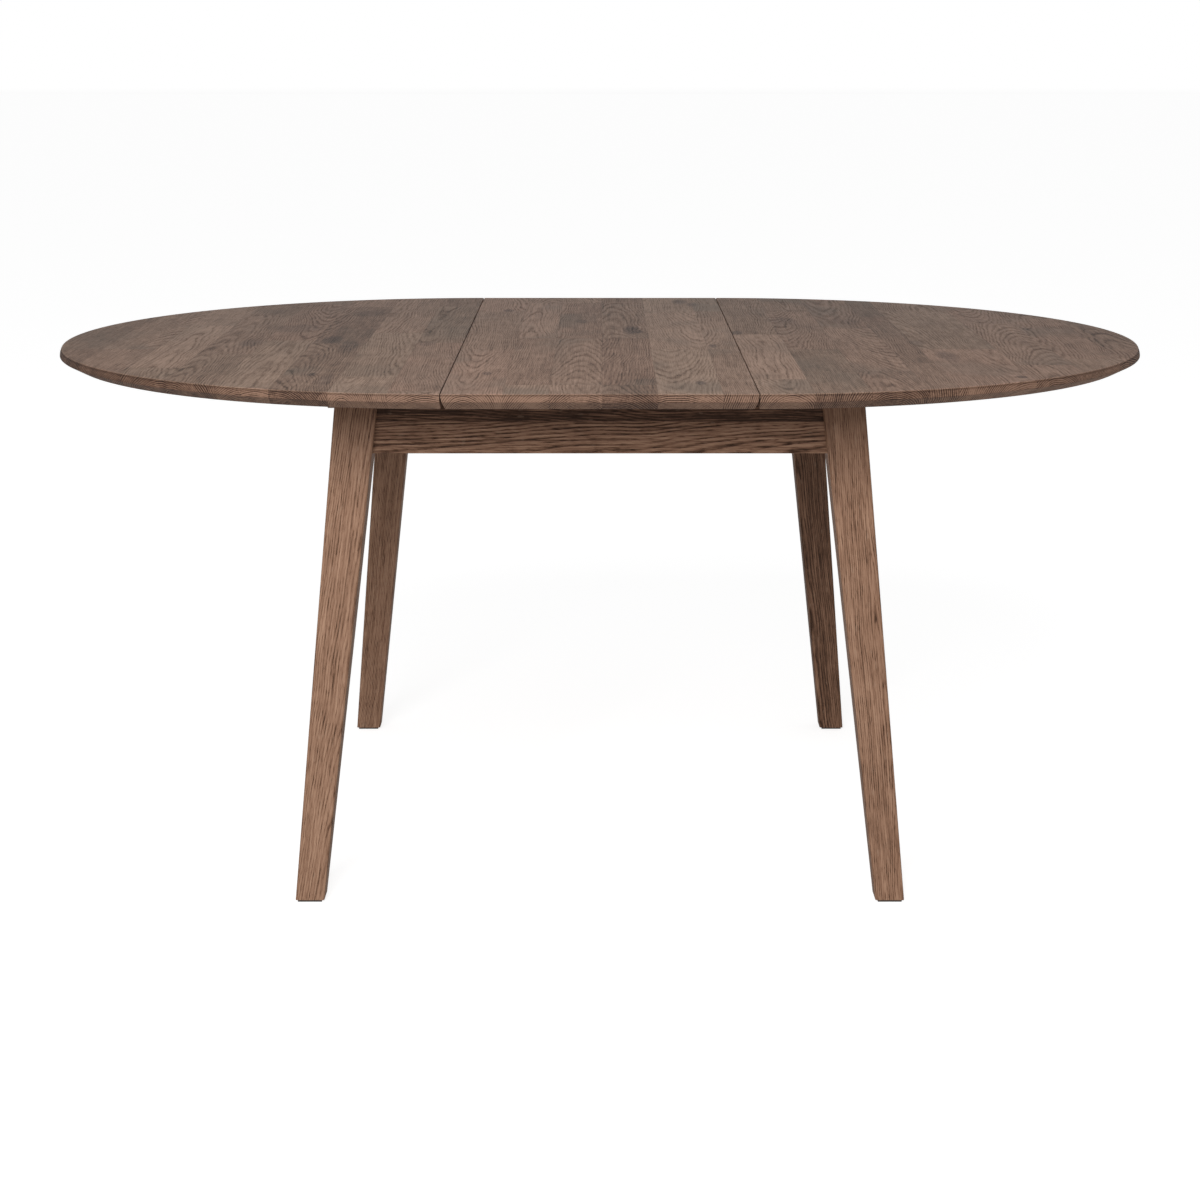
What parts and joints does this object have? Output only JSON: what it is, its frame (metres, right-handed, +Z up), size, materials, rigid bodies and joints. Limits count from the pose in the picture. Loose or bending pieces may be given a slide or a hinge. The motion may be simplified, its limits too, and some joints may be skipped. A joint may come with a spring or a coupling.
{
  "type": "extending dining table",
  "caption": "Round wooden dining table that extends: half-round tops slide apart over a splayed-leg frame, and a straight centre leaf fills the gap.",
  "frame": {"origin": "floor, under the middle of the frame", "axes": "+X along the direction the table extends in, +Z up, -Y is the front long side"},
  "size_m": [1.6388, 1.224, 0.75],
  "materials": {
    "oak_top": "smoked oak, matt oil",
    "oak_frame": "smoked oak, matt oil",
    "beech_structure": "planed and waxed",
    "nylon_rack": "moulded",
    "nylon_gear": "moulded",
    "pad_plastic": "moulded",
    "glide_plastic": "moulded",
    "zinc_steel": "bright zinc plate"
  },
  "bodies": {
    "frame": {"apron_back": "oak_frame", "apron_front": "oak_frame", "apron_left": "oak_frame", "apron_right": "oak_frame", "axle_nut": "zinc_steel", "bolt_nuts": "zinc_steel", "bolt_washers": "zinc_steel", "corner_block_back_left": "beech_structure", "corner_block_back_right": "beech_structure", "corner_block_front_left": "beech_structure", "corner_block_front_right": "beech_structure", "cross_rail_centre": "beech_structure", "cross_rail_left": "beech_structure", "cross_rail_right": "beech_structure", "foot_glides": "glide_plastic", "guide_rail_back": "beech_structure", "guide_rail_front": "beech_structure", "guide_rail_screws": "zinc_steel", "hanger_bolts": "zinc_steel", "leg_back_left": "oak_frame", "leg_back_right": "oak_frame", "leg_front_left": "oak_frame", "leg_front_right": "oak_frame", "pinion_axle": "zinc_steel", "pinion_spacer": "nylon_gear", "slide_pads": "pad_plastic", "travel_stops": "pad_plastic"},
    "left_half": {"cleat_left": "beech_structure", "cleat_screws_left": "zinc_steel", "rack_left": "nylon_rack", "rack_screw_left": "zinc_steel", "runner_left_back": "beech_structure", "runner_left_front": "beech_structure", "runner_screws_left": "zinc_steel", "stop_pegs_left": "pad_plastic", "top_half_left": "oak_top"},
    "right_half": {"cleat_right": "beech_structure", "cleat_screws_right": "zinc_steel", "rack_right": "nylon_rack", "rack_screw_right": "zinc_steel", "runner_right_back": "beech_structure", "runner_right_front": "beech_structure", "runner_screws_right": "zinc_steel", "stop_pegs_right": "pad_plastic", "top_half_right": "oak_top"},
    "pinion_wheel": {"pinion": "nylon_gear"},
    "leaf": {"centre_leaf": "oak_top", "leaf_batten_back": "beech_structure", "leaf_batten_front": "beech_structure", "leaf_batten_inner_back": "beech_structure", "leaf_batten_inner_front": "beech_structure", "leaf_batten_screws": "zinc_steel"}
  },
  "joints": [
    {"name": "left_half_slide", "type": "slide", "parent": "frame", "child": "left_half", "axis": [1, 0, 0], "range_m": [0, 0.2077]},
    {"name": "right_half_slide", "type": "slide", "parent": "frame", "child": "right_half", "axis": [-1, 0, 0], "range_m": [0, 0.2077]},
    {"name": "pinion_turn", "type": "hinge", "parent": "frame", "child": "pinion_wheel", "pos_m": [0, 0, 0.704], "axis": [0, 0, -1], "range_deg": [0, 477]},
    {"name": "leaf_lift", "type": "slide", "parent": "frame", "child": "leaf", "axis": [0, 0, 1], "range_m": [0, 0.8309]}
  ],
  "couplings": [
    {"joint": "right_half_slide", "follows": "left_half_slide", "ratio": 1},
    {"joint": "pinion_turn", "follows": "left_half_slide", "rad_per_m": 40},
    {"joint": "leaf_lift", "follows": "left_half_slide", "ratio": 4}
  ]
}
